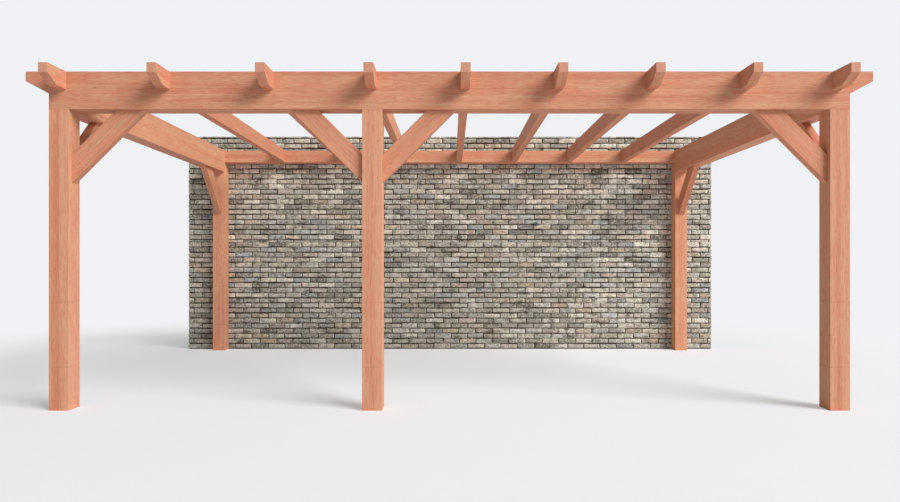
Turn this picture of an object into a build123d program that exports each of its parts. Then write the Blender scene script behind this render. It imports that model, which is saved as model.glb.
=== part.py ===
"""Attached veranda: an open timber roof frame on five posts, carried at the back by a brick wall.

Millimetres, +Z up. The origin is on the ground, in the middle of the plan: X runs along the wall,
Y runs from the open front to the wall.
"""

import os

from build123d import *

os.makedirs("parts", exist_ok=True)

# Overall frame
frame_width = 6000  # over the outer faces of the corner posts
frame_depth = 3600  # from the front face of the front posts to the face of the wall
post_height = 2257  # headroom below the beams
post_section = 150
edge_easing = 2  # chamfer along the arrises of every timber
cut_overrun = 10  # how far every cut runs past the timber it cuts
middle_share = 0.401  # place of the middle post between the corner posts, from the left

# Beams
front_beam_depth = 283
side_beam_depth = 272
beam_overhang = 174  # past the outer face of a corner post
beam_nose = 72  # upright part of the overhanging end
beam_end_drop = 165  # depth of the overhanging end where it meets the post line

# Rafters
rafter_width = 70
rafter_depth = 150
left_bay_spaces = 3
right_bay_spaces = 5
tail_depth = 135  # a tail is shallower than its rafter, as deep as the notch that it lies in
tail_projection = 229  # past the front face of the front beam
tail_nose = 70  # upright part of the tail's end
tail_slope_run = 112  # length of the sloping cut under the tail
tail_inset = 20  # from the inner face of a corner post to the corner tail

# Wall plate
plate_depth = 150
plate_housing = 20  # depth of the sockets that take the rafters

# Braces
brace_width = 150
brace_thickness = 70
brace_leg = 545  # from the corner to the outer edge, along the post and along the beam

# Brick wall
wall_margin = 366  # past the outer face of a corner post
wall_rise = 196  # above the tops of the rafters
wall_thickness = 100

# Levels and places worked out from the sizes above
top_level = post_height + front_beam_depth
side_level = post_height + side_beam_depth
notch_level = top_level - tail_depth
rafter_level = top_level - rafter_depth
plate_level = side_level - plate_depth

outer_x = frame_width / 2
inner_x = outer_x - post_section
corner_post_x = outer_x - post_section / 2
middle_x = corner_post_x * (2 * middle_share - 1)
corner_tail_x = inner_x + tail_inset + rafter_width / 2

front_y = (tail_projection - frame_depth - wall_thickness) / 2
beam_back_y = front_y + post_section
wall_y = front_y + frame_depth
rear_post_front_y = wall_y - post_section
rafter_rear_y = rear_post_front_y + plate_housing
tail_y = front_y - tail_projection

left_step = (middle_x + corner_tail_x) / left_bay_spaces
right_step = (corner_tail_x - middle_x) / right_bay_spaces
left_tails_x = [left_step * count - corner_tail_x for count in range(left_bay_spaces)]
right_tails_x = [middle_x + right_step * count for count in range(right_bay_spaces + 1)]
tails_x = left_tails_x + right_tails_x
rafters_x = tails_x[1:-1]


def save(timber, name):
    """Label a finished piece and write it as its own file."""
    timber.part.label = name
    export_step(timber.part, f"parts/{name}.step")


def make_post(name, x, y, height):
    """Square post with eased corners; x and y are the middle of its foot."""
    with BuildPart() as post:
        with BuildSketch(Plane.XY):
            with Locations((x, y)):
                Rectangle(post_section, post_section)
        extrude(amount=height)
        chamfer(post.edges().filter_by(Axis.Z), edge_easing)
    save(post, name)


def make_front_beam():
    """Deep beam on the front posts, with shaped ends and a notch for every tail."""
    nose_x = outer_x + beam_overhang
    nose_level = top_level - beam_nose
    drop_level = top_level - beam_end_drop
    outline = [
        (-nose_x, top_level),
        (-nose_x, nose_level),
        (-outer_x, drop_level),
        (-outer_x, post_height),
        (outer_x, post_height),
        (outer_x, drop_level),
        (nose_x, nose_level),
        (nose_x, top_level),
    ]
    with BuildPart() as front_beam:
        with BuildSketch(Plane.XZ.offset(-beam_back_y)):
            with BuildLine():
                Polyline(*outline, close=True)
            make_face()
        extrude(amount=post_section)
        chamfer(front_beam.faces().filter_by(Axis.Y).edges(), edge_easing)
        with BuildSketch(Plane.XY.offset(notch_level)):
            with Locations(*[(x, front_y + post_section / 2) for x in tails_x]):
                Rectangle(rafter_width, post_section + 2 * cut_overrun)
        extrude(amount=tail_depth + cut_overrun, mode=Mode.SUBTRACT)
    save(front_beam, "front_beam")


def make_side_beam(name, x):
    """Beam from the back of the front beam to the front of the rear post."""
    with BuildPart() as side_beam:
        with BuildSketch(Plane.XZ.offset(-rear_post_front_y)):
            with Locations((x, post_height + side_beam_depth / 2)):
                Rectangle(post_section, side_beam_depth)
        extrude(amount=rear_post_front_y - beam_back_y)
        chamfer(side_beam.edges().filter_by(Axis.Y), edge_easing)
    save(side_beam, name)


def make_board(name, x, outline):
    """Board on edge from front to back, with the given outline in Y and Z."""
    with BuildPart() as board:
        with BuildSketch(Plane.YZ.offset(x - rafter_width / 2)):
            with BuildLine():
                Polyline(*outline, close=True)
            make_face()
        extrude(amount=rafter_width)
        chamfer(board.faces().filter_by(Axis.X).edges(), edge_easing)
    save(board, name)


def tail_outline():
    """Outline of a tail from its top, round the sloping end, to the back of the front beam."""
    return [
        (tail_y, top_level),
        (tail_y, top_level - tail_nose),
        (tail_y + tail_slope_run, notch_level),
        (beam_back_y, notch_level),
    ]


def make_rafter(name, x):
    """Rafter with a shoulder behind the front beam and a tail that passes through it."""
    body = [
        (beam_back_y, rafter_level),
        (rafter_rear_y, rafter_level),
        (rafter_rear_y, top_level),
    ]
    make_board(name, x, tail_outline() + body)


def make_corner_tail(name, x):
    """Short tail over a corner post, in front of the side beam."""
    make_board(name, x, tail_outline() + [(beam_back_y, top_level)])


def make_wall_plate():
    """Plate along the wall between the rear posts, with an open-topped socket for every rafter."""
    with BuildPart() as wall_plate:
        with BuildSketch(Plane.XY.offset(plate_level)):
            with Locations((0, wall_y - post_section / 2)):
                Rectangle(2 * inner_x, post_section)
        extrude(amount=plate_depth)
        chamfer(wall_plate.edges().filter_by(Axis.X), edge_easing)
        with BuildSketch(Plane.XY.offset(rafter_level)):
            with Locations(*[(x, rear_post_front_y) for x in rafters_x]):
                Rectangle(rafter_width, 2 * plate_housing)
        extrude(amount=side_level - rafter_level + cut_overrun, mode=Mode.SUBTRACT)
    save(wall_plate, "wall_plate")


def make_brace(name, plane, side):
    """Slanted brace in the corner at the plane's origin; side is 1 or -1 along the plane's x."""
    upper_leg = brace_leg - brace_width * 2**0.5
    outline = [
        (0, -upper_leg),
        (0, -brace_leg),
        (side * brace_leg, 0),
        (side * upper_leg, 0),
    ]
    with BuildPart() as brace:
        with BuildSketch(plane):
            with BuildLine():
                Polyline(*outline, close=True)
            make_face()
        extrude(amount=brace_thickness / 2, both=True)
        chamfer(brace.faces().filter_by(plane).edges(), edge_easing)
    save(brace, name)


def make_front_brace(name, x, side):
    """Brace between a front post's face at x and the front beam."""
    plane = Plane(origin=(x, front_y + post_section / 2, post_height), x_dir=(1, 0, 0), z_dir=(0, -1, 0))
    make_brace(name, plane, side)


def make_side_brace(name, x, y, side):
    """Brace between a corner post's face at y and the side beam."""
    plane = Plane(origin=(x, y, post_height), x_dir=(0, 1, 0), z_dir=(1, 0, 0))
    make_brace(name, plane, side)


def make_brick_wall():
    """Half-brick wall that carries the plate; its bricks are a finish on this block."""
    with BuildPart() as brick_wall:
        with BuildSketch(Plane.XY):
            with Locations((0, wall_y + wall_thickness / 2)):
                Rectangle(frame_width + 2 * wall_margin, wall_thickness)
        extrude(amount=top_level + wall_rise)
    save(brick_wall, "brick_wall")


# Posts: the rear ones stand as high as the side beams
front_post_y = front_y + post_section / 2
rear_post_y = wall_y - post_section / 2
make_post("front_left_post", -corner_post_x, front_post_y, post_height)
make_post("front_middle_post", middle_x, front_post_y, post_height)
make_post("front_right_post", corner_post_x, front_post_y, post_height)
make_post("rear_left_post", -corner_post_x, rear_post_y, side_level)
make_post("rear_right_post", corner_post_x, rear_post_y, side_level)

# Beams and plate
make_front_beam()
make_side_beam("left_side_beam", -corner_post_x)
make_side_beam("right_side_beam", corner_post_x)
make_wall_plate()

# Rafters and corner tails
make_corner_tail("left_corner_tail", -corner_tail_x)
for number, rafter_x in enumerate(rafters_x, start=1):
    make_rafter(f"rafter_{number}", rafter_x)
make_corner_tail("right_corner_tail", corner_tail_x)

# Braces
make_front_brace("front_left_brace", -inner_x, 1)
make_front_brace("middle_left_brace", middle_x - post_section / 2, -1)
make_front_brace("middle_right_brace", middle_x + post_section / 2, 1)
make_front_brace("front_right_brace", inner_x, -1)
for side_name, post_x in (("left", -corner_post_x), ("right", corner_post_x)):
    make_side_brace(f"{side_name}_side_front_brace", post_x, beam_back_y, 1)
    make_side_brace(f"{side_name}_side_rear_brace", post_x, rear_post_front_y, -1)

make_brick_wall()
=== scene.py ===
"""Looks of the attached veranda: laminated timber, a wall of weathered bricks, floor, light and camera."""

import math
import random
from types import SimpleNamespace

import bpy
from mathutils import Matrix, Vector


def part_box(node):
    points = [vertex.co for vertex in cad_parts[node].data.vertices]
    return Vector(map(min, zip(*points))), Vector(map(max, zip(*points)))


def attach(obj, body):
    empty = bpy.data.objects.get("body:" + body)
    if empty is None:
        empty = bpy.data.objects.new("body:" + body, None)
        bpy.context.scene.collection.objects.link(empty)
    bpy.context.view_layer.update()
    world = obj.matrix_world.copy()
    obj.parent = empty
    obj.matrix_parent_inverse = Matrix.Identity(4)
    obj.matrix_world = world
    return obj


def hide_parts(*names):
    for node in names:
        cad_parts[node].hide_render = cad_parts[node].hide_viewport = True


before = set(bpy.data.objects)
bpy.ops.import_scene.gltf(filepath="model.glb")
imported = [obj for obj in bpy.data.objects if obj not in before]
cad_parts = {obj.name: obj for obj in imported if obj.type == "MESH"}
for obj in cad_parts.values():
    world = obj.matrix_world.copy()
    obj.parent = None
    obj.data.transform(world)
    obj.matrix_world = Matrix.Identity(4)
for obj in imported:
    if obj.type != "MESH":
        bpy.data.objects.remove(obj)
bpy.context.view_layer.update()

# Picture, in pixels; rows count from the top
PICTURE_WIDTH = 900
PICTURE_HEIGHT = 502
FOCAL_PIXELS = 668
HORIZON_PIXEL = 263.1
CENTRE_PIXEL = 450.745  # the column straight ahead of the camera

# Camera, in metres
CAMERA_HEIGHT = 1.105
CAMERA_DISTANCE = 5.0  # to the front faces of the front posts
CAMERA_SIDE = 0.0098  # to the right of the part's middle
SENSOR_WIDTH = 36.0  # millimetres

# Light
KEY_AZIMUTH = math.radians(52)  # from the camera's side towards the right
KEY_ELEVATION = math.radians(33)
KEY_DISTANCE = 80.0  # metres
KEY_BREADTH = math.radians(36)  # how wide the lamp looks from the part
KEY_TALLNESS = math.radians(28)  # and how tall
KEY_STRENGTH = 3.5  # about the watts on a square metre that faces the lamp
AMBIENT_STRENGTH = 0.20

# Floor, in metres
FLOOR_GLOW = 0.29  # share of its own glow in the floor's look, near the part
FADE_START = 3.2  # from the origin; the floor fades into the backdrop from here
FADE_END = 8.8
FLOOR_REACH = 60.0

# Timber, in metres
LAMELLAS = {"post": 2, "front_beam": 5, "side_beam": 5, "wall_plate": 3, "rafter": 2, "brace": 3}
PALENESS = {"post": 0.13, "front_beam": 0.07, "side_beam": 0.13}  # these kinds are paler than the rest
# Brightness of single timbers. For the posts it is painted light and shade: the rear posts are painted
# lighter, to make up for the rafters' shade that falls on them, and the middle and right front posts
# painted darker, to take off the extra light that falls on them from the right
BRIGHTNESS_AND_PAINTED_LIGHT = {  # the other timbers have 1.0
    "front_beam": 0.945,
    "rear_left_post": 1.12,
    "rear_right_post": 1.04,
    "front_middle_post": 0.985,
    "front_right_post": 0.965,
}
BRACE_WIDTH = 0.150
TIMBER_SEED = 11
SEED_LIMITS = (1, 90)  # of the seeds of single timbers

# Joints in the timber, in metres; each share is the strength of a line
SEGMENT_LENGTH = 1.15  # between the finger joints of a lamella
FINGER_LENGTH = 0.016
FINGER_PITCH = 0.006
GLUE_LINE = 0.0006
GLUE_SHARE = 0.30
PLANED_SKIN = 0.002  # no glue line shows this close to an outer face
POST_JOINTS = (0.327, 0.814)  # levels of the finger joints that run right across the posts
CROSS_LINE = 0.006  # half their height
CROSS_PITCH = 0.026  # between their darkest spots
CROSS_FAINTEST = 0.35  # strength between two spots
CROSS_SHARE = 0.24
BEAM_SEAM = 2.411  # level of the seam along the front beam, at the undersides of the tails
SEAM_LINE = 0.006  # half its height
SEAM_SHARE = 0.15

# Grain, in metres
HEART_REACH = 0.055  # a post is reddest at its heart and palest this far from it
HEART_PLACE = -0.012  # off the middle of the post, to the left
POST_HEART = 0.42
RING_WIDTH = 0.0042
RING_DRIFT = (0.55, 5.0, 5.0)  # how fast the rings wander, along and across the grain
RING_WANDER = 0.030
RING_BEND = 0.010  # at a knot
PITH_OFFSET = 0.11  # most that the pith lies off the lamella's middle
PITH_SPREAD = 0.12  # and sideways, from end to end of its range
KNOT_DENSITY = (1.4, 6.0, 6.0)  # knots to a metre, along and across the grain
KNOT_SHIFT = (3.7, 1.3, 2.1)  # times the seed, so that no two timbers have the same knots
KNOT_RIM = 0.013
KNOT_CORE = 0.006
KNOT_SHARE = 0.45
SWIRL_REACH = 0.045
TONE_OFFSET = -2.02  # brings the weighted streaks to a middle tone of about one half
LATE_POWER = 3.0  # how late in a ring it darkens
LATE_SHARE = 0.27
LATE_FADE = 0.25  # taken off that in the palest bands
WOOD_ROUGHNESS = 0.55
ROUGHNESS_RISE = 0.15  # added to that in the palest bands
LATE_RELIEF = 0.35  # share of the late wood in the bump
FIBRE_RELIEF = 0.5  # and of the fibres

# Bricks, in metres
COURSE_HEIGHT = 0.0652  # with the bed joint; the top course is cut
SPLIT_ROW = 21  # the one course of split bricks
SPLIT_HEIGHT = 0.031
FIRST_BED = 0.0063  # middle of the lowest bed joint
BRICKS_IN_COURSE = 31.5
BOND_START = 0.0654  # length of the first brick in every second course
BED_JOINT = 0.011
TIGHT_JOINT = 0.003  # under the split bricks
HEAD_JOINT = 0.0092  # between two bricks of a course
JOINT_WANDER = 0.009  # most that a head joint lies off its place
JOINT_DEPTH = 0.008
BRICK_EDGE = 0.004  # rounding of a brick's edges
BRICK_WOBBLE = 0.0018
BRICK_SHIFT = 0.0040  # most that a brick's edge lies above or below its place
BRICK_SET_BACK = 0.003  # most that a brick's face lies behind the wall's face
BRICK_COLUMNS = 5
BRICK_ROWS = 2
BRICK_SEED = 7
SHARP_ANGLE = math.radians(50)  # sharper edges aren't shaded smooth
SECOND_TINT = 0.5  # most that a brick takes from its second colour
TINT_GAIN = (0.96, 1.50)  # limits of a brick's brightness
STAIN_STRETCH = (1.0, 1.0, 2.2)  # stains are wider than they are high
MOTTLE_SHARE = 0.42
MOTTLE_RELIEF = 0.7  # share of the mottle in the bump
SPECK_RELIEF = 0.5  # and of the specks
LOWER_DARKENING_REACH = 1.3  # the wall is darker below this level, more so towards the bottom
LOWER_DARKENING_SHARE = 0.15


def srgb(red, green, blue):
    """Linear colour, with alpha, of a screen colour given in steps of 0 to 255."""
    linear = []
    for step in (red, green, blue):
        share = step / 255
        linear.append(share / 12.92 if share <= 0.04045 else ((share + 0.055) / 1.055) ** 2.4)
    return (*linear, 1.0)


AMBIENT_COLOUR = srgb(255, 255, 255)
BACKDROP_COLOUR = srgb(240, 242, 245)
FLOOR_COLOUR = srgb(250, 251, 255)
FLOOR_LIFT = srgb(252, 254, 255)
WOOD_TAN = srgb(217, 163, 129)
WOOD_RED = srgb(203, 131, 102)
WOOD_BLUSH = srgb(222, 136, 109)
WOOD_LATE = srgb(186, 104, 74)
END_GRAIN = srgb(199, 148, 121)
KNOT_COLOUR = srgb(140, 72, 48)
MORTAR_COLOUR = srgb(59, 50, 32)
MORTAR_DARK = srgb(45, 38, 25)
MORTAR_SAND = srgb(104, 94, 75)
STAIN_COLOUR = srgb(76, 74, 60)
CHALK_COLOUR = srgb(232, 227, 216)
WASH_COLOUR = srgb(138, 134, 121)
BRICK_PALETTE = [  # colours, and how often each is drawn
    (srgb(217, 212, 198), 24),  # cream
    (srgb(204, 195, 176), 10),  # warm cream
    (srgb(194, 186, 170), 17),  # beige
    (srgb(186, 186, 176), 17),  # light grey
    (srgb(193, 178, 166), 8),  # pinkish
    (srgb(192, 175, 151), 8),  # tan
    (srgb(165, 172, 172), 9),  # blue grey
    (srgb(160, 160, 144), 13),  # olive grey
    (srgb(149, 142, 130), 5),  # brown grey
    (srgb(122, 118, 110), 4),  # dark grey
]


def add_node(tree, kind, inputs=None, out=0, **settings):
    """Add a node, set or link its inputs by name or number, and return one of its outputs."""
    node = tree.nodes.new(kind)
    for name, value in settings.items():
        setattr(node, name, value)
    for key, value in (inputs or {}).items():
        if isinstance(value, bpy.types.NodeSocket):
            tree.links.new(value, node.inputs[key])
        else:
            node.inputs[key].default_value = value
    return node.outputs[out]


def calc(tree, operation, first, second=0.0, third=0.0):
    """Arithmetic on numbers."""
    return add_node(tree, "ShaderNodeMath", {0: first, 1: second, 2: third}, operation=operation)


def vector_calc(tree, operation, first, second):
    """Arithmetic on vectors."""
    return add_node(tree, "ShaderNodeVectorMath", {0: first, 1: second}, operation=operation)


def dot_product(tree, first, second):
    """Dot product of two vectors, a number."""
    return add_node(tree, "ShaderNodeVectorMath", {0: first, 1: second}, "Value", operation="DOT_PRODUCT")


def vector_length(tree, vector):
    """Length of a vector, a number."""
    return add_node(tree, "ShaderNodeVectorMath", {0: vector}, "Value", operation="LENGTH")


def remap(tree, value, low, high, to_low=0.0, to_high=1.0):
    """Smooth step of a value between two limits."""
    inputs = {0: value, 1: low, 2: high, 3: to_low, 4: to_high}
    return add_node(tree, "ShaderNodeMapRange", inputs, interpolation_type="SMOOTHSTEP")


def blend_colours(tree, share, first, second):
    """Blend of two colours; the share is the second one's."""
    return add_node(tree, "ShaderNodeMix", {0: share, 6: first, 7: second}, 2, data_type="RGBA")


def lay_over(tree, colour, coat, value, low, high, share=1.0):
    """Lay a coat over a colour, more and more up to the share as the value goes from low to high."""
    return blend_colours(tree, remap(tree, value, low, high, 0.0, share), colour, coat)


def noise(tree, vector, scale, detail=2.0, roughness=0.5):
    """Noise between 0 and 1."""
    inputs = {"Vector": vector, "Scale": scale, "Detail": detail, "Roughness": roughness}
    return add_node(tree, "ShaderNodeTexNoise", inputs, "Fac")


def line_noise(tree, position, scale, detail=1.0):
    """Noise along a line."""
    inputs = {"W": position, "Scale": scale, "Detail": detail}
    return add_node(tree, "ShaderNodeTexNoise", inputs, "Fac", noise_dimensions="1D")


def streaks(tree, space, along, across, detail=2.0, roughness=0.5):
    """Noise drawn out along the grain; along and across are its scales on a metre."""
    stretched = vector_calc(tree, "MULTIPLY", space, (along, across, across))
    return noise(tree, stretched, 1.0, detail, roughness)


def new_material(name):
    """Empty material with its tree and output node."""
    material = bpy.data.materials.new(name)
    material.use_nodes = True
    tree = material.node_tree
    tree.nodes.clear()
    output = tree.nodes.new("ShaderNodeOutputMaterial")
    return material, tree, output


def finish_surface(tree, output, colour, height, roughness, bump, specular):
    """Principled surface with bump, wired to the output."""
    normal = add_node(tree, "ShaderNodeBump", {"Strength": 1.0, "Distance": bump, "Height": height})
    inputs = {
        "Base Color": colour,
        "Roughness": roughness,
        "Normal": normal,
        "Specular IOR Level": specular,
    }
    surface = add_node(tree, "ShaderNodeBsdfPrincipled", inputs)
    tree.links.new(surface, output.inputs["Surface"])


def timber_sticks(tree, timber, length, layer, side):
    """Place in the lamella, with random numbers for it and for its stick.

    The place runs from -0.5 to 0.5. One number is the lamella's, and three are the stick's, which ends
    at two finger joints.
    """
    lamella = timber.depth / timber.lamellas
    stack = calc(tree, "DIVIDE", calc(tree, "ADD", layer, timber.depth / 2), lamella)
    lamella_number = calc(tree, "MAXIMUM", calc(tree, "FLOOR", stack), 0.0)
    lamella_number = calc(tree, "MINIMUM", lamella_number, timber.lamellas - 1)
    in_lamella = calc(tree, "SUBTRACT", calc(tree, "SUBTRACT", stack, lamella_number), 0.5)
    lamella_key = add_node(tree, "ShaderNodeCombineXYZ", {0: lamella_number, 1: timber.seed})
    lamella_random = add_node(tree, "ShaderNodeTexWhiteNoise", {"Vector": lamella_key}, "Value")
    teeth = calc(tree, "PINGPONG", side, FINGER_PITCH / 2)
    teeth = calc(tree, "MULTIPLY", teeth, 2 * FINGER_LENGTH / FINGER_PITCH)
    shifted = calc(tree, "MULTIPLY_ADD", lamella_random, SEGMENT_LENGTH, calc(tree, "ADD", length, teeth))
    stick_number = calc(tree, "FLOOR", calc(tree, "DIVIDE", shifted, SEGMENT_LENGTH))
    stick_key = add_node(tree, "ShaderNodeCombineXYZ", {0: lamella_number, 1: stick_number, 2: timber.seed})
    stick_colour = add_node(tree, "ShaderNodeTexWhiteNoise", {"Vector": stick_key}, "Color")
    stick_split = tree.nodes.new("ShaderNodeSeparateColor")
    tree.links.new(stick_colour, stick_split.inputs[0])
    return in_lamella, lamella_random, *stick_split.outputs


def timber_knots(tree, space, seed):
    """Knots, as points scattered through the wood, and the swirl of the rings round them."""
    cells = vector_calc(tree, "MULTIPLY", space, KNOT_DENSITY)
    cells = vector_calc(tree, "ADD", cells, [seed * shift for shift in KNOT_SHIFT])
    point = add_node(tree, "ShaderNodeTexVoronoi", {"Vector": cells, "Scale": 1.0}, "Position")
    gap = vector_calc(tree, "DIVIDE", vector_calc(tree, "SUBTRACT", point, cells), KNOT_DENSITY)
    distance = vector_length(tree, gap)
    return remap(tree, distance, KNOT_RIM, KNOT_CORE), remap(tree, distance, SWIRL_REACH, 0.0)


def draw_joint_lines(tree, timber, colour, length, layer, side):
    """Draw the finger joints right across the timber, as dotted lines, and its seams."""
    spots = calc(tree, "PINGPONG", calc(tree, "ADD", layer, side), CROSS_PITCH / 2)
    spots = remap(tree, spots, CROSS_PITCH / 8, CROSS_PITCH / 3, CROSS_FAINTEST, 1.0)
    for crossing in timber.crossings:
        off_line = calc(tree, "ABSOLUTE", calc(tree, "SUBTRACT", length, crossing))
        line = remap(tree, off_line, CROSS_LINE, CROSS_LINE / 3, 0.0, CROSS_SHARE)
        colour = blend_colours(tree, calc(tree, "MULTIPLY", line, spots), colour, KNOT_COLOUR)
    for seam in timber.seams:
        off_line = calc(tree, "ABSOLUTE", calc(tree, "SUBTRACT", layer, seam))
        colour = lay_over(tree, colour, KNOT_COLOUR, off_line, SEAM_LINE, SEAM_LINE / 4, SEAM_SHARE)
    return colour


def timber_material(name, timber):
    """Laminated, finger-jointed reddish softwood."""
    material, tree, output = new_material(name)
    half = timber.depth / 2
    lamella = timber.depth / timber.lamellas
    place = add_node(tree, "ShaderNodeTexCoord", out="Object")
    place = vector_calc(tree, "SUBTRACT", place, timber.centre)
    length = dot_product(tree, place, timber.along)
    layer = dot_product(tree, place, timber.across)
    side = dot_product(tree, place, timber.along.cross(timber.across))
    space = add_node(tree, "ShaderNodeCombineXYZ", {0: length, 1: layer, 2: side})
    sticks = timber_sticks(tree, timber, length, layer, side)
    in_lamella, lamella_random, stick_tone, pith_layer, pith_side = sticks
    knot, swirl = timber_knots(tree, space, timber.seed)

    # Growth rings about a pith that lies off the stick
    stick_shift = add_node(tree, "ShaderNodeCombineXYZ", {0: stick_tone, 1: timber.seed})
    drift = vector_calc(tree, "ADD", vector_calc(tree, "MULTIPLY", space, RING_DRIFT), stick_shift)
    wander = calc(tree, "SUBTRACT", noise(tree, drift, scale=2.0), 0.5)
    pith_layer = calc(tree, "MULTIPLY", pith_layer, PITH_OFFSET)
    pith_side = calc(tree, "MULTIPLY_ADD", pith_side, PITH_SPREAD, -PITH_SPREAD / 2)
    ring_layer = calc(tree, "MULTIPLY_ADD", in_lamella, lamella, pith_layer)
    ring_side = calc(tree, "ADD", side, pith_side)
    radius = vector_length(tree, add_node(tree, "ShaderNodeCombineXYZ", {0: ring_layer, 1: ring_side}))
    radius = calc(tree, "MULTIPLY_ADD", wander, RING_WANDER, radius)
    radius = calc(tree, "MULTIPLY_ADD", swirl, RING_BEND, radius)
    ring = calc(tree, "FRACT", calc(tree, "DIVIDE", radius, RING_WIDTH))
    late_wood = calc(tree, "POWER", ring, LATE_POWER)

    # Streaks: bands that follow the rings, then dashes, fibres and flecks along the grain
    band_place = calc(tree, "ADD", radius, stick_tone)
    broad = line_noise(tree, band_place, scale=42.0)
    fine = line_noise(tree, band_place, scale=120.0)
    dash = streaks(tree, space, along=16.0, across=170.0)
    fibre = streaks(tree, space, along=2.2, across=260.0, detail=3.0, roughness=0.6)
    cloud = streaks(tree, space, along=4.0, across=16.0)
    blush = streaks(tree, space, along=5.0, across=48.0)
    fleck = streaks(tree, space, along=18.0, across=180.0, detail=1.0)

    # Tone, from reddish at 0 to tan at 1
    weights = [
        (stick_tone, 0.30),
        (lamella_random, 0.34),
        (broad, 0.9),
        (fine, 0.7),
        (dash, 1.9),
        (cloud, 0.9),
    ]
    tone = timber.paleness + TONE_OFFSET
    for value, weight in weights:
        tone = calc(tree, "MULTIPLY_ADD", value, weight, tone)
    from_heart = calc(tree, "ABSOLUTE", calc(tree, "SUBTRACT", layer, HEART_PLACE))
    paler = remap(tree, from_heart, 0.0, HEART_REACH, -timber.heart / 2, timber.heart / 2)
    colour = blend_colours(tree, calc(tree, "ADD", tone, paler), WOOD_RED, WOOD_TAN)
    colour = lay_over(tree, colour, WOOD_BLUSH, blush, low=0.48, high=0.68, share=0.34)

    # Late wood, fainter in the pale bands, and the dark fibres
    late_share = calc(tree, "MULTIPLY_ADD", broad, -LATE_FADE, LATE_SHARE)
    late_share = calc(tree, "MULTIPLY", late_wood, late_share)
    colour = blend_colours(tree, late_share, colour, WOOD_LATE)
    colour = lay_over(tree, colour, WOOD_LATE, fibre, low=0.55, high=0.75, share=0.30)
    colour = lay_over(tree, colour, WOOD_LATE, fleck, low=0.60, high=0.71, share=0.42)

    # Glue lines, knots and joints
    glue_edge = calc(tree, "MULTIPLY", calc(tree, "ABSOLUTE", in_lamella), lamella)
    glue = remap(tree, glue_edge, lamella / 2 - GLUE_LINE, lamella / 2, 0.0, GLUE_SHARE)
    from_middle = calc(tree, "ABSOLUTE", layer)
    inside = remap(tree, from_middle, half - PLANED_SKIN, half - PLANED_SKIN / 2, 1.0, 0.0)
    colour = blend_colours(tree, calc(tree, "MULTIPLY", glue, inside), colour, KNOT_COLOUR)
    colour = blend_colours(tree, calc(tree, "MULTIPLY", knot, KNOT_SHARE), colour, KNOT_COLOUR)
    colour = draw_joint_lines(tree, timber, colour, length, layer, side)

    # Sawn end grain is greyer
    normal = add_node(tree, "ShaderNodeNewGeometry", out="Normal")
    facing = calc(tree, "ABSOLUTE", dot_product(tree, normal, timber.along))
    colour = lay_over(tree, colour, END_GRAIN, facing, low=0.45, high=0.95, share=0.60)
    # Painted light and shade: each timber's colour is scaled by its brightness, which paints the rear posts
    # lighter and the middle and right front posts darker
    colour = vector_calc(tree, "MULTIPLY", colour, [timber.brightness] * 3)

    height = calc(tree, "MULTIPLY_ADD", late_wood, LATE_RELIEF, calc(tree, "MULTIPLY", fibre, FIBRE_RELIEF))
    roughness = calc(tree, "MULTIPLY_ADD", broad, ROUGHNESS_RISE, WOOD_ROUGHNESS)
    finish_surface(tree, output, colour, height, roughness, bump=0.0006, specular=0.12)
    return material


def brick_material():
    """Weathered brick: a colour for each brick, mottled, stained and rough."""
    material, tree, output = new_material("weathered_brick")
    place = add_node(tree, "ShaderNodeTexCoord", out="Object")
    tint = add_node(tree, "ShaderNodeAttribute", out="Color", attribute_name="brick_tint")
    mottle = noise(tree, place, scale=15.0, detail=4.0, roughness=0.65)
    speck = noise(tree, place, scale=85.0, roughness=0.6)
    wash = noise(tree, place, scale=9.0)
    stain_place = vector_calc(tree, "MULTIPLY", place, STAIN_STRETCH)
    stain = noise(tree, stain_place, scale=5.0, detail=5.0, roughness=0.65)
    dark = blend_colours(tree, MOTTLE_SHARE, tint, STAIN_COLOUR)
    colour = lay_over(tree, dark, tint, mottle, low=0.34, high=0.58)
    colour = lay_over(tree, colour, WASH_COLOUR, wash, low=0.48, high=0.70, share=0.36)
    colour = lay_over(tree, colour, STAIN_COLOUR, stain, low=0.54, high=0.70, share=0.84)
    colour = lay_over(tree, colour, STAIN_COLOUR, speck, low=0.52, high=0.66, share=0.76)
    colour = lay_over(tree, colour, CHALK_COLOUR, speck, low=0.47, high=0.32, share=0.72)
    level = dot_product(tree, place, (0.0, 0.0, 1.0))
    # Darker towards the bottom of the wall
    lower_darkening = remap(tree, level, 0.0, LOWER_DARKENING_REACH, LOWER_DARKENING_SHARE, 0.0)
    colour = blend_colours(tree, lower_darkening, colour, STAIN_COLOUR)
    height = calc(tree, "MULTIPLY_ADD", mottle, MOTTLE_RELIEF, calc(tree, "MULTIPLY", speck, SPECK_RELIEF))
    finish_surface(tree, output, colour, height, roughness=0.88, bump=0.003, specular=0.2)
    return material


def mortar_material():
    """Dark sandy mortar."""
    material, tree, output = new_material("mortar")
    place = add_node(tree, "ShaderNodeTexCoord", out="Object")
    sand = noise(tree, place, scale=220.0, detail=3.0, roughness=0.7)
    patch = noise(tree, place, scale=7.0, detail=3.0, roughness=0.6)
    colour = lay_over(tree, MORTAR_COLOUR, MORTAR_DARK, patch, low=0.35, high=0.7)
    colour = lay_over(tree, colour, MORTAR_SAND, sand, low=0.5, high=0.8, share=0.4)
    finish_surface(tree, output, colour, sand, roughness=0.95, bump=0.002, specular=0.15)
    return material


def new_piece(name, points, faces, material):
    """Mesh object of the part, riding on its one body."""
    mesh = bpy.data.meshes.new(name)
    mesh.from_pydata(points, [], faces)
    mesh.materials.append(material)
    mesh.validate()
    piece = bpy.data.objects.new(name, mesh)
    bpy.context.scene.collection.objects.link(piece)
    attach(piece, "root")
    return piece


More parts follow.
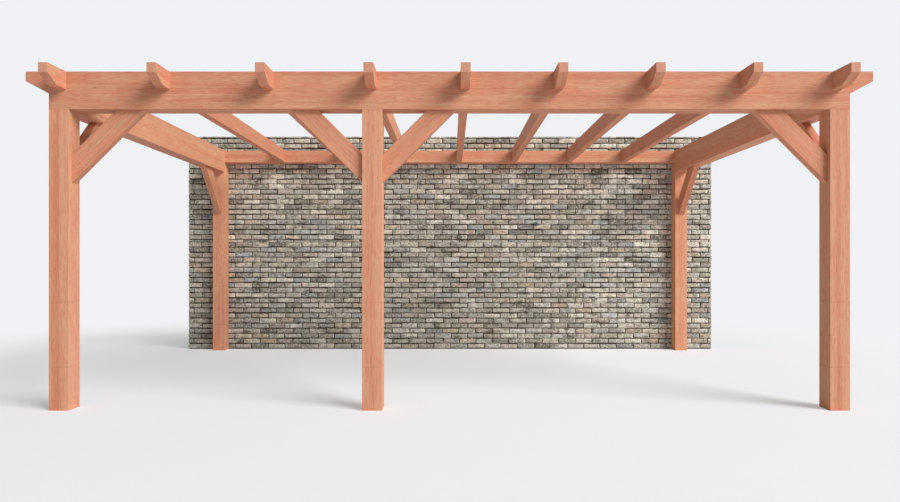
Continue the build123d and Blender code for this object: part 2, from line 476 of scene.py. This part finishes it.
def grid_rim(columns, rows):
    """Grid places round the rim of a face, in order."""
    rim = [(column, 0) for column in range(columns)]
    rim += [(columns, row) for row in range(rows)]
    rim += [(columns - column, rows) for column in range(columns)]
    rim += [(0, rows - row) for row in range(rows)]
    return rim


def grid_faces(number, columns, rows):
    """Faces of the front and the back, cell by cell, from the numbers of their points."""
    faces = []
    for column in range(columns):
        for row in range(rows):
            corners = [(column, row), (column + 1, row), (column + 1, row + 1), (column, row + 1)]
            faces.append([number["front", *corner] for corner in corners])
            faces.append([number["back", *corner] for corner in reversed(corners)])
    return faces


def rim_faces(number, rim, bands):
    """Faces round the rim, between each band of points and the next."""
    faces = []
    for here, after in zip(rim, rim[1:] + rim[:1]):
        for near, far in zip(bands, bands[1:]):
            corners = [(near, *after), (near, *here), (far, *here), (far, *after)]
            faces.append([number[corner] for corner in corners])
    return faces


def add_brick(points, faces, low, high, dice):
    """Append one worn brick: two slightly uneven faces, rounded edges and plain sides."""
    start = len(points)
    columns, rows = BRICK_COLUMNS, BRICK_ROWS
    rim = grid_rim(columns, rows)
    shake = {}
    for column in range(columns + 1):
        for row in range(rows + 1):
            shake[column, row] = [dice.uniform(-BRICK_WOBBLE, BRICK_WOBBLE) for _ in range(3)]
    number = {}

    def add_point(band, column, row, inset, depth):
        across = low.x + inset + (high.x - low.x - 2 * inset) * column / columns + shake[column, row][0]
        up = low.z + inset + (high.z - low.z - 2 * inset) * row / rows + shake[column, row][2]
        number[band, column, row] = start + len(number)
        points.append((across, depth, up))

    for column in range(columns + 1):
        for row in range(rows + 1):
            add_point("front", column, row, BRICK_EDGE, low.y + shake[column, row][1])
            add_point("back", column, row, BRICK_EDGE, high.y - shake[column, row][1])
    for column, row in rim:
        add_point("front_edge", column, row, 0.0, low.y + BRICK_EDGE)
        add_point("back_edge", column, row, 0.0, high.y - BRICK_EDGE)
    faces += grid_faces(number, columns, rows)
    faces += rim_faces(number, rim, ["front", "front_edge", "back_edge", "back"])


def make_bricks():
    """Stretcher bond over the whole wall, with cut bricks at its ends."""
    low, high = [Vector(corner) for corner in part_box("brick_wall")]
    pitch = (high.x - low.x) / BRICKS_IN_COURSE
    dice = random.Random(BRICK_SEED)
    colours = [colour for colour, weight in BRICK_PALETTE]
    weights = [weight for colour, weight in BRICK_PALETTE]
    points, faces, tints = [], [], []
    row = 0
    bed = low.z + FIRST_BED
    while bed < high.z - BED_JOINT:
        top = bed + (SPLIT_HEIGHT if row == SPLIT_ROW else COURSE_HEIGHT)
        under = TIGHT_JOINT if row == SPLIT_ROW else BED_JOINT
        over = TIGHT_JOINT if row + 1 == SPLIT_ROW else BED_JOINT
        joint = low.x + BOND_START + (pitch / 2 if row % 2 == 0 else 0.0)
        joints = []
        while joint < high.x - JOINT_WANDER - HEAD_JOINT:
            joints.append(joint + dice.uniform(-JOINT_WANDER, JOINT_WANDER))
            joint += pitch
        lefts = [low.x] + [place + HEAD_JOINT / 2 for place in joints]
        rights = [place - HEAD_JOINT / 2 for place in joints] + [high.x]
        for left, right in zip(lefts, rights):
            near = Vector((left, low.y + dice.uniform(0.0, BRICK_SET_BACK), bed + under / 2))
            far = Vector((right, high.y - dice.uniform(0.0, BRICK_SET_BACK), top - over / 2))
            near.z += dice.uniform(-BRICK_SHIFT, BRICK_SHIFT) * under / BED_JOINT
            far.z += dice.uniform(-BRICK_SHIFT, BRICK_SHIFT) * over / BED_JOINT
            far.z = min(far.z, high.z - BRICK_WOBBLE)
            before = len(faces)
            add_brick(points, faces, near, far, dice)
            first, second = [Vector(colour[:3]) for colour in dice.choices(colours, weights, k=2)]
            tint = first.lerp(second, dice.uniform(0.0, SECOND_TINT)) * dice.uniform(*TINT_GAIN)
            tints += [(*tint, 1.0)] * (len(faces) - before)
        bed = top
        row += 1
    bricks = new_piece("bricks", points, faces, brick_material())
    attribute = bricks.data.attributes.new("brick_tint", "FLOAT_COLOR", "FACE")
    attribute.data.foreach_set("color", [part for tint in tints for part in tint])
    bricks.data.shade_smooth()
    bricks.data.set_sharp_from_angle(angle=SHARP_ANGLE)
    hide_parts("brick_wall")


def make_mortar():
    """Mortar that fills the wall behind the joints, with a hand-pointed surface."""
    low, high = [Vector(corner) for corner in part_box("brick_wall")]
    recess = Vector((JOINT_DEPTH, JOINT_DEPTH + BRICK_SET_BACK, 0.0))
    low += recess
    high -= recess
    high.z -= JOINT_DEPTH
    columns = 2 * int(BRICKS_IN_COURSE)
    rows = int((high.z - low.z) / COURSE_HEIGHT)
    dice = random.Random(BRICK_SEED + 1)
    points = []
    number = {}
    for face, depth in (("front", low.y), ("back", high.y)):
        for column in range(columns + 1):
            for row in range(rows + 1):
                across = low.x + (high.x - low.x) * column / columns
                up = low.z + (high.z - low.z) * row / rows
                number[face, column, row] = len(points)
                points.append((across, depth + dice.uniform(-BRICK_WOBBLE, BRICK_WOBBLE), up))
    faces = grid_faces(number, columns, rows)
    faces += rim_faces(number, grid_rim(columns, rows), ["front", "back"])
    mortar = new_piece("mortar", points, faces, mortar_material())


def dress_timber():
    """Give every timber its own wood: the way of its grain, and the way in which its lamellas stack."""
    kinds = [
        ("_post", (0, 0, 1), (1, 0, 0), "post"),
        ("front_beam", (1, 0, 0), (0, 0, 1), "front_beam"),
        ("_side_beam", (0, 1, 0), (0, 0, 1), "side_beam"),
        ("wall_plate", (1, 0, 0), (0, 0, 1), "wall_plate"),
        ("rafter_", (0, 1, 0), (1, 0, 0), "rafter"),
        ("_corner_tail", (0, 1, 0), (1, 0, 0), "rafter"),
        ("front_left_brace", (1, 0, 1), (-1, 0, 1), "brace"),
        ("middle_left_brace", (-1, 0, 1), (1, 0, 1), "brace"),
        ("middle_right_brace", (1, 0, 1), (-1, 0, 1), "brace"),
        ("front_right_brace", (-1, 0, 1), (1, 0, 1), "brace"),
        ("_side_front_brace", (0, 1, 1), (0, -1, 1), "brace"),
        ("_side_rear_brace", (0, -1, 1), (0, 1, 1), "brace"),
    ]
    dice = random.Random(TIMBER_SEED)
    for name, node in sorted(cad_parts.items()):
        if name == "brick_wall":
            continue
        along, across, kind = next(entry[1:] for entry in kinds if entry[0] in name)
        along = Vector(along).normalized()
        across = Vector(across).normalized()
        low, high = [Vector(corner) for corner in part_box(name)]
        centre = (low + high) / 2
        depth = abs((high - low).dot(across))
        if kind == "brace":
            # The middle of a brace's box lies on its outer edge
            depth = BRACE_WIDTH
            centre += depth / 2 * across
        timber = SimpleNamespace(
            along=along,
            across=across,
            centre=centre,
            depth=depth,
            lamellas=LAMELLAS[kind],
            heart=POST_HEART if kind == "post" else 0.0,
            paleness=PALENESS.get(kind, 0.0),
            brightness=BRIGHTNESS_AND_PAINTED_LIGHT.get(name, 1.0),
            crossings=[level - centre.z for level in POST_JOINTS] if kind == "post" else [],
            seams=[BEAM_SEAM - centre.z] if kind == "front_beam" else [],
            seed=dice.uniform(*SEED_LIMITS),
        )
        node.data.materials.clear()
        node.data.materials.append(timber_material(f"timber_{name}", timber))


def make_floor():
    """Pale floor that fades into the backdrop and keeps the shadows."""
    material, tree, output = new_material("floor")
    place = add_node(tree, "ShaderNodeTexCoord", out="Object")
    far = remap(tree, vector_length(tree, place), FADE_START, FADE_END)
    fade = calc(tree, "MULTIPLY_ADD", far, 1.0 - FLOOR_GLOW, FLOOR_GLOW)
    glow_colour = blend_colours(tree, far, FLOOR_LIFT, BACKDROP_COLOUR)
    seen = add_node(tree, "ShaderNodeLightPath", out="Is Camera Ray")
    matt = add_node(tree, "ShaderNodeBsdfDiffuse", {"Color": FLOOR_COLOUR})
    glow = add_node(tree, "ShaderNodeEmission", {"Color": glow_colour})
    share = calc(tree, "MULTIPLY", fade, seen)
    surface = add_node(tree, "ShaderNodeMixShader", {0: share, 1: matt, 2: glow})
    tree.links.new(surface, output.inputs["Surface"])
    corners = [(-1, -1), (1, -1), (1, 1), (-1, 1)]
    mesh = bpy.data.meshes.new("floor")
    mesh.from_pydata([(FLOOR_REACH * x, FLOOR_REACH * y, 0) for x, y in corners], [], [[0, 1, 2, 3]])
    mesh.materials.append(material)
    floor = bpy.data.objects.new("floor", mesh)
    bpy.context.scene.collection.objects.link(floor)


def make_world():
    """Even soft light, and a pale backdrop for what the camera and reflections see."""
    world = bpy.data.worlds.new("studio")
    bpy.context.scene.world = world
    world.use_nodes = True
    tree = world.node_tree
    tree.nodes.clear()
    path = tree.nodes.new("ShaderNodeLightPath")
    seen = calc(tree, "MAXIMUM", path.outputs["Is Camera Ray"], path.outputs["Is Glossy Ray"])
    seen = calc(tree, "MAXIMUM", seen, path.outputs["Is Transmission Ray"])
    ambient_light = {"Color": AMBIENT_COLOUR, "Strength": AMBIENT_STRENGTH}
    ambient = add_node(tree, "ShaderNodeBackground", ambient_light)
    backdrop = add_node(tree, "ShaderNodeBackground", {"Color": BACKDROP_COLOUR, "Strength": 1.0})
    surface = add_node(tree, "ShaderNodeMixShader", {0: seen, 1: ambient, 2: backdrop})
    output = tree.nodes.new("ShaderNodeOutputWorld")
    tree.links.new(surface, output.inputs["Surface"])


def make_key_light():
    """Broad soft lamp at the front right, above."""
    lamp = bpy.data.lights.new("key", "AREA")
    lamp.shape = "ELLIPSE"
    lamp.size = 2 * KEY_DISTANCE * math.tan(KEY_BREADTH / 2)
    lamp.size_y = 2 * KEY_DISTANCE * math.tan(KEY_TALLNESS / 2)
    lamp.energy = KEY_STRENGTH * math.pi * KEY_DISTANCE**2
    key = bpy.data.objects.new("key", lamp)
    level = math.cos(KEY_ELEVATION)
    right = level * math.sin(KEY_AZIMUTH)
    front = level * math.cos(KEY_AZIMUTH)
    towards = Vector((right, -front, math.sin(KEY_ELEVATION)))
    key.location = KEY_DISTANCE * towards
    key.rotation_euler = towards.to_track_quat("Z", "Y").to_euler()
    bpy.context.scene.collection.objects.link(key)


def make_camera():
    """Level camera in front of the open side."""
    data = bpy.data.cameras.new("camera")
    data.sensor_fit = "HORIZONTAL"
    data.sensor_width = SENSOR_WIDTH
    data.lens = FOCAL_PIXELS / PICTURE_WIDTH * SENSOR_WIDTH
    data.shift_x = (PICTURE_WIDTH / 2 - CENTRE_PIXEL) / PICTURE_WIDTH
    data.shift_y = (HORIZON_PIXEL - PICTURE_HEIGHT / 2) / PICTURE_WIDTH
    camera = bpy.data.objects.new("camera", data)
    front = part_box("front_left_post")[0][1]
    camera.location = (CAMERA_SIDE, front - CAMERA_DISTANCE, CAMERA_HEIGHT)
    camera.rotation_euler = (math.pi / 2, 0, 0)
    bpy.context.scene.collection.objects.link(camera)
    bpy.context.scene.camera = camera


dress_timber()
make_bricks()
make_mortar()
make_floor()
make_world()
make_key_light()
make_camera()
bpy.context.scene.view_settings.view_transform = "Standard"
